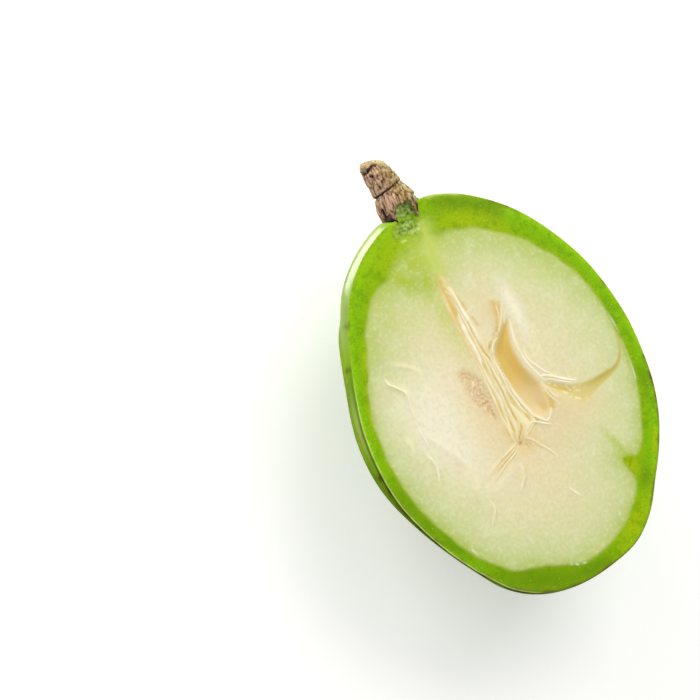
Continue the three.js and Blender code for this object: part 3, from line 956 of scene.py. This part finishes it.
def shape_stalk(mesh):
    """Turns a ball into the stalk: its rings follow the axis, and the ones at both ends close it."""
    places = places_of(mesh)
    turn = np.arctan2(places[:, 1], places[:, 0])
    ring = STALK_RINGS * (1 - np.arccos(np.clip(places[:, 2], -1, 1)) / math.pi)
    share = np.clip((ring - END_RINGS) / (STALK_RINGS - 2 * END_RINGS), 0, 1)
    reach = np.clip(np.minimum(ring, STALK_RINGS - ring) / END_RINGS, 0, 1)

    axis = smooth_line(STALK_AXIS, 20)
    length = np.append(0, np.cumsum(np.linalg.norm(np.diff(axis, axis=0), axis=1)))
    heading = np.gradient(axis, length, axis=0)
    along = share * length[-1]
    middle, ahead = (np.stack([np.interp(along, length, v) for v in p.T], 1) for p in (axis, heading))
    side = np.cross(ahead, (0, 0, 1))
    side /= np.linalg.norm(side, axis=1)[:, None]
    over = np.cross(side, ahead)
    cosine, sine = np.cos(turn), np.sin(turn)
    outward = side * cosine[:, None] + over * sine[:, None]
    upper = sine > 0

    # The bark: its swelling, its flakes and its long splits, and the slanting, broken upper end.
    rod = (ROD_RADIUS * cosine, ROD_RADIUS * sine, ROD_LENGTH * share)
    splits = lumps(rod[0], rod[1], 0.25 * rod[2], 0.9, 31.0)
    flakes = lumps(rod[0], rod[1], 0.4 * rod[2], 0.45, 32.0)
    radius = np.interp(share, *zip(*STALK_RADIUS)) + 0.1 * lumps(*rod, 2.2, 33.0) + 0.1 * flakes
    radius += 0.3 * lumps(*rod, 1.1, 37.0) * rise(share, 0.85, 0.97)
    split = rise(1 - 6 * np.abs(splits), 0, 1)
    radius -= 0.16 * split
    radius *= np.sin(reach * math.pi / 2) ** 0.5
    spot = middle + outward * radius[:, None]
    near_end = rise(share, 0.75, 1)
    slant = near_end * -0.25 * radius * cosine - 0.35 * radius * sine * near_end
    cap = (ring > STALK_RINGS / 2) * 0.8 * (1 - reach**2)
    spot += ahead * (slant + cap)[:, None]

    # The crack round the joint, and the crevices.
    seen_x, seen_y = from_the_left(spot)
    facing = spot[:, 2] > middle[:, 2] - 1.2
    joint = JOINT_Y + 0.032 * (seen_x + 7.4) ** 2 * facing + 0.15 * lumps(seen_x, 0 * seen_x, 0, 1.5, 36.0)
    # The crack's painted shade is deeper on the stalk's left side.
    crack = np.exp(-(((seen_y - joint) / 0.2) ** 2)) * (0.75 - 0.35 * cosine)
    sunk = np.maximum(0.5 * crack, crevices(seen_x, seen_y, deep=True) * facing)
    spot -= outward * sunk[:, None]

    # The flakes lap over the face, and between them the window is cut down to it.
    laps = np.maximum(*[depth_inside(flake, spot[:, 0], spot[:, 1]) for flake in (LEFT_FLAKE, RIGHT_FLAKE)])
    foot = rise(laps, -0.1, 0.3) * upper
    spot[:, 2] = np.where(foot > 0.3, np.maximum(spot[:, 2], 0.3 * foot - 0.3 * sunk), spot[:, 2])
    window = rise(depth_inside(WINDOW, spot[:, 0], spot[:, 1]), -0.1, 0.15) * upper
    level = 0.05 + 0.2 * lumps(spot[:, 0], spot[:, 1], 0, 0.7, 35.0) - 0.6 * rise(-spot[:, 1], -38.9, -37.5)
    spot[:, 2] = np.where(window > 0.5, np.minimum(spot[:, 2], level), spot[:, 2])
    # Painted shade darkens the crack, the crevices and the bark's splits.
    dark = np.maximum(crack, crevices(*from_the_left(spot)) * facing)
    put(mesh, to_part(*spot.T))
    keep(
        mesh,
        dark=dark + 0.5 * split,
        window=window,
        # Which way the bark faces, for the painted light on its two sides.
        right=0.5 + 0.5 * cosine - 0.2 * rise(2 * sine, 0, 1),
        end=rise(share, 0.93, 1) * (1 - dark),
    )


def bark_finish():
    bark = Finish("stalk_bark", Roughness=0.7, IOR=1.45, Specular_IOR_Level=0.25)
    # The bark's colour is set by which way it faces: painted light, pinkish on its left and pale on its
    # right, with browner bark on top.
    colour = bark.ramp(
        bark.tone("right"),
        (0, paint(212, 172, 140)),
        (0.3, paint(172, 136, 84)),
        (0.5, paint(184, 158, 100)),
        (0.85, paint(216, 208, 150)),
    )
    streaks = bark.grain(0.42, 4.0, (1, 0.3, 1))
    flecks = bark.step(bark.grain(0.5, 3.0, (1, 0.4, 1), 4.0), 0.54, 0.66)
    colour = bark.layers(
        colour,
        (bark.step(streaks, 0.48, 0.58), 0.85, paint(92, 58, 28)),
        (flecks, 0.7, paint(228, 206, 162)),
        ("end", 0.4, paint(190, 170, 122)),
        # Painted shade in the crack, the crevices and the splits.
        ("dark", 1.0, paint(48, 22, 14)),
    )
    curds = bark.grain(0.8, 3.0, shift=6.0)
    wet_green = bark.ramp(curds, (0.36, paint(76, 110, 16)), (0.66, paint(190, 212, 116)))
    colour = bark.mix(colour, wet_green, bark.tone("window"))
    bark.set(Base_Color=colour, Normal=bark.bump(streaks, 0.12))
    return bark.material


stalk = ball("stalk_bark", STALK_SIDES, STALK_RINGS)
shape_stalk(stalk.data)
stalk.data.materials.append(bark_finish())
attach(stalk, "root")
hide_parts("stalk")

# --- the floor ---
# A plain white floor, which keeps the half's soft shadow.


def floor_finish():
    """White to the camera and in reflections, where it glows without lighting the half."""
    floor = Finish("white_floor", Base_Color=paint(232, 232, 228), Roughness=0.8)
    path = floor.add("ShaderNodeLightPath")
    seen = floor.plus(path.outputs["Is Camera Ray"], path.outputs["Is Glossy Ray"])
    glow = floor.add("ShaderNodeEmission", Strength=floor.times(seen, 0.36))
    both = floor.add("ShaderNodeAddShader")
    floor.feed(both.inputs[0], floor.shader.outputs["BSDF"])
    floor.feed(both.inputs[1], glow.outputs["Emission"])
    out = floor.tree.nodes["Material Output"]
    floor.feed(out.inputs["Surface"], both.outputs["Shader"])
    return floor.material


deselect_all()
bpy.ops.mesh.primitive_plane_add(size=6)
floor = bpy.context.object
floor.name = "floor"
floor.data.materials.append(floor_finish())

# --- the camera ---
# It looks down on the cut face, turned a little to its left so that a strip of skin shows there.

FACE_TILT = math.radians(24)  # between the line of sight and the face's normal
ROLL = math.radians(24.4)  # how far the stalk leans to the left in the view
DISTANCE = 0.373
AIM_LEFT, AIM_UP = 0.0294, 0.0084  # of the face's middle, so that the half stands at the right of the view
LENS = 100
back = Vector((-math.sin(FACE_TILT), 0, math.cos(FACE_TILT)))
level = Vector((0, 1, 0)).cross(back)
up = Vector((0, 1, 0)) * math.cos(ROLL) + level * math.sin(ROLL)
right = up.cross(back)
face_middle = Vector((FACE_MIDDLE[0] * MM, FACE_MIDDLE[1] * MM, FACE_HEIGHT * MM))
eye = face_middle + back * DISTANCE
target = face_middle - right * AIM_LEFT + up * AIM_UP
look = (target - eye).normalized()
across = look.cross(up).normalized()
camera_data = bpy.data.cameras.new("camera")
camera_data.lens = LENS
camera_data.clip_start = 0.01
camera = bpy.data.objects.new("camera", camera_data)
bpy.context.collection.objects.link(camera)
turn = Matrix([across, across.cross(look), -look]).transposed()
camera.matrix_world = Matrix.Translation(eye) @ turn.to_4x4()
bpy.context.scene.camera = camera

# --- the light ---
# Soft studio panels: a broad one overhead and to the right, and a low bright one beyond the left shoulder.

LAMP_AIM = Vector((0, 0, 0.02))
SKY_STRENGTH = 0.47


def panel(name, place, size, watts):
    data = bpy.data.lights.new(name, "AREA")
    data.shape, data.size, data.size_y, data.energy = "RECTANGLE", size[0], size[1], watts
    lamp = bpy.data.objects.new(name, data)
    bpy.context.collection.objects.link(lamp)
    lamp.location = place
    lamp.rotation_euler = (LAMP_AIM - Vector(place)).to_track_quat("-Z", "Y").to_euler()


panel("overhead", (0.66, 0.6, 0.8), (0.9, 0.9), 8.6)
panel("left_shoulder", (-0.24, 0.8, 0.29), (0.6, 0.25), 5.4)

world = bpy.data.worlds.new("studio")
world.use_nodes = True
sky = world.node_tree.nodes["Background"]
sky.inputs["Color"].default_value = (1, 1, 1, 1)
sky.inputs["Strength"].default_value = SKY_STRENGTH
bpy.context.scene.world = world
bpy.context.scene.view_settings.view_transform = "Standard"
